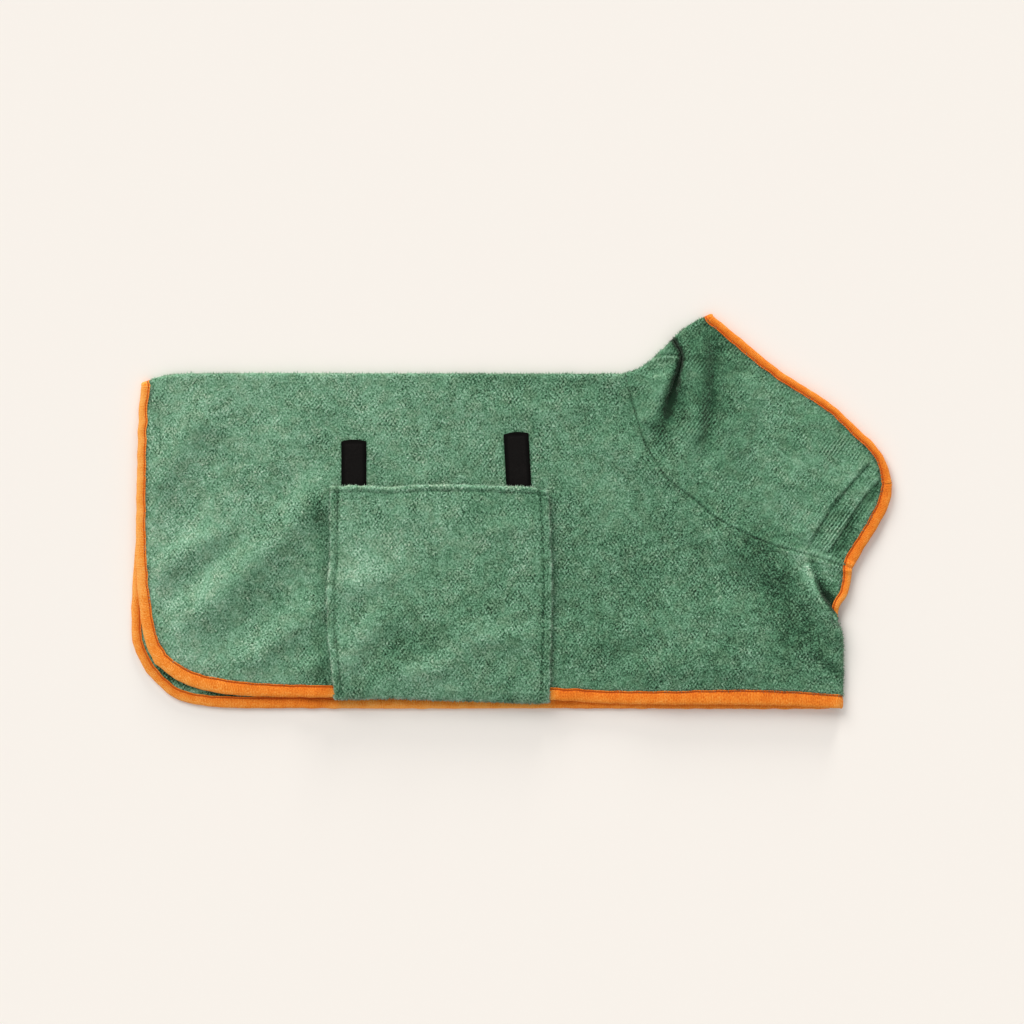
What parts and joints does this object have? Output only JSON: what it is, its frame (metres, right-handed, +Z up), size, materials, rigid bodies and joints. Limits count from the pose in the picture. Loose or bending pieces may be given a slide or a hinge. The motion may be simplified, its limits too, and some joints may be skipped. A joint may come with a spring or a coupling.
{
  "type": "dog drying coat laid flat on its side",
  "caption": "Terry dog drying coat with a high collar, orange bound edges and a belly flap pressed onto hook and loop strips, laid flat on its side.",
  "frame": {"origin": "on the surface it lies on, under the middle of its outline", "axes": "+X from the tail to the neck, +Y from the hem to the spine, +Z up out of the surface"},
  "size_m": [0.7601, 0.3944, 0.0154],
  "materials": {
    "terry": "soft microfibre terry, matt",
    "binding": "woven folded tape, matt",
    "hook_and_loop": "black hook and loop tape"
  },
  "bodies": {
    "root": {"body": "terry", "collar": "terry", "belly_flap": "terry", "chest_tab": "terry", "hem_binding_near": "binding", "hem_binding_far": "binding", "rim_binding_near": "binding", "rim_binding_far": "binding", "front_binding_near": "binding", "front_binding_far": "binding", "loop_tape_rear": "hook_and_loop", "loop_tape_front": "hook_and_loop", "hook_tape_rear": "hook_and_loop", "hook_tape_front": "hook_and_loop", "collar_hook_tape": "hook_and_loop"}
  },
  "joints": []
}
